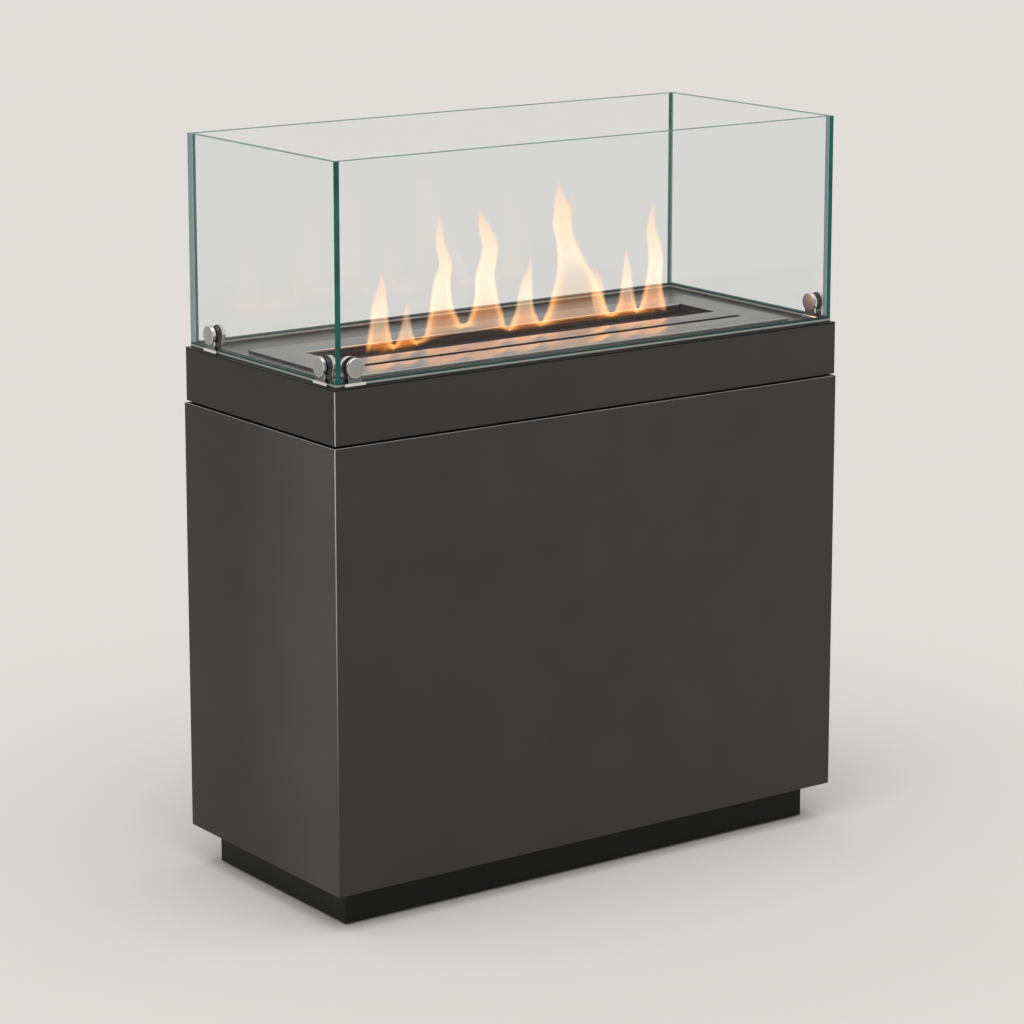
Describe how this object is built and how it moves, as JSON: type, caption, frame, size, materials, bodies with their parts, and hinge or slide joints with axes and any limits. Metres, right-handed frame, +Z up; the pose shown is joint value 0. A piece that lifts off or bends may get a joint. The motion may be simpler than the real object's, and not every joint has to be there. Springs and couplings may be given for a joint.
{
  "type": "bioethanol fireplace",
  "caption": "Free-standing bioethanol fireplace: a dark steel cabinet on a recessed plinth, a drop-in burner with a sliding damper, and an open-topped glass flame guard.",
  "frame": {"origin": "on the floor, under the middle of the cabinet", "axes": "+X along the long front, +Y from the front to the back, +Z up"},
  "size_m": [0.9, 0.4, 1.09],
  "materials": {
    "cabinet_coat": "fine matt powder coat, anthracite",
    "fascia_coat": "fine matt powder coat, anthracite",
    "plinth_coat": "matt black powder coat",
    "zinc_steel": "zinc-coated sheet",
    "ledge_steel": "brushed, grained along the long side",
    "cover_steel": "brushed, grained along the long side",
    "burner_steel": "stainless, tinted by heat",
    "mesh_steel": "dark stainless, tinted by heat",
    "ceramic_wool": "fibrous ceramic block",
    "glass": "clear tempered glass, green at its edges",
    "seal": "pale translucent setting strip",
    "polished_steel": "polished stainless steel",
    "black_rubber": "matt black",
    "foot_steel": "blackened steel"
  },
  "bodies": {
    "cabinet": {"plinth_frame": "plinth_coat", "foot_nut_front_left": "zinc_steel", "foot_nut_front_right": "zinc_steel", "foot_nut_rear_left": "zinc_steel", "foot_nut_rear_right": "zinc_steel", "body_shell": "cabinet_coat", "body_floor": "zinc_steel", "top_frame": "plinth_coat", "post_front_left": "zinc_steel", "post_front_right": "zinc_steel", "post_rear_left": "zinc_steel", "post_rear_right": "zinc_steel", "front_stiffener": "zinc_steel", "rear_panel": "cabinet_coat", "rear_screw_left_1": "foot_steel", "rear_screw_left_2": "foot_steel", "rear_screw_left_3": "foot_steel", "rear_screw_right_1": "foot_steel", "rear_screw_right_2": "foot_steel", "rear_screw_right_3": "foot_steel", "shadow_gap_spacer": "plinth_coat", "fascia_frame": "fascia_coat", "ledge_plate": "ledge_steel", "heat_shield": "burner_steel", "glass_front": "glass", "glass_back": "glass", "glass_left": "glass", "glass_right": "glass", "glass_seal_front": "seal", "glass_seal_back": "seal", "glass_seal_left": "seal", "glass_seal_right": "seal", "clamp_body_left_front": "polished_steel", "clamp_body_left_rear": "polished_steel", "clamp_body_right_front": "polished_steel", "clamp_body_front_left": "polished_steel", "clamp_cap_left_front": "polished_steel", "clamp_cap_left_rear": "polished_steel", "clamp_cap_right_front": "polished_steel", "clamp_cap_front_left": "polished_steel", "clamp_gasket_outer_left_front": "black_rubber", "clamp_gasket_outer_left_rear": "black_rubber", "clamp_gasket_outer_right_front": "black_rubber", "clamp_gasket_outer_front_left": "black_rubber", "clamp_gasket_inner_left_front": "black_rubber", "clamp_gasket_inner_left_rear": "black_rubber", "clamp_gasket_inner_right_front": "black_rubber", "clamp_gasket_inner_front_left": "black_rubber"},
    "burner": {"cover_plate": "cover_steel", "damper_rail_left": "burner_steel", "damper_rail_right": "burner_steel", "fuel_tank": "burner_steel", "ceramic_wool": "ceramic_wool", "burner_mesh": "mesh_steel"},
    "damper": {"damper": "burner_steel"},
    "foot_front_left": {"foot_front_left": "foot_steel"},
    "foot_front_right": {"foot_front_right": "foot_steel"},
    "foot_rear_left": {"foot_rear_left": "foot_steel"},
    "foot_rear_right": {"foot_rear_right": "foot_steel"}
  },
  "joints": [
    {"name": "burner_lift", "type": "slide", "parent": "cabinet", "child": "burner", "axis": [0, 0, 1], "range_m": [0, 0.4]},
    {"name": "damper_slide", "type": "slide", "parent": "burner", "child": "damper", "axis": [0, 1, 0], "range_m": [0, 0.08265]},
    {"name": "foot_screw_front_left", "type": "slide", "parent": "cabinet", "child": "foot_front_left", "axis": [0, 0, 1], "range_m": [-0.01, 0]},
    {"name": "foot_screw_front_right", "type": "slide", "parent": "cabinet", "child": "foot_front_right", "axis": [0, 0, 1], "range_m": [-0.01, 0]},
    {"name": "foot_screw_rear_left", "type": "slide", "parent": "cabinet", "child": "foot_rear_left", "axis": [0, 0, 1], "range_m": [-0.01, 0]},
    {"name": "foot_screw_rear_right", "type": "slide", "parent": "cabinet", "child": "foot_rear_right", "axis": [0, 0, 1], "range_m": [-0.01, 0]}
  ]
}
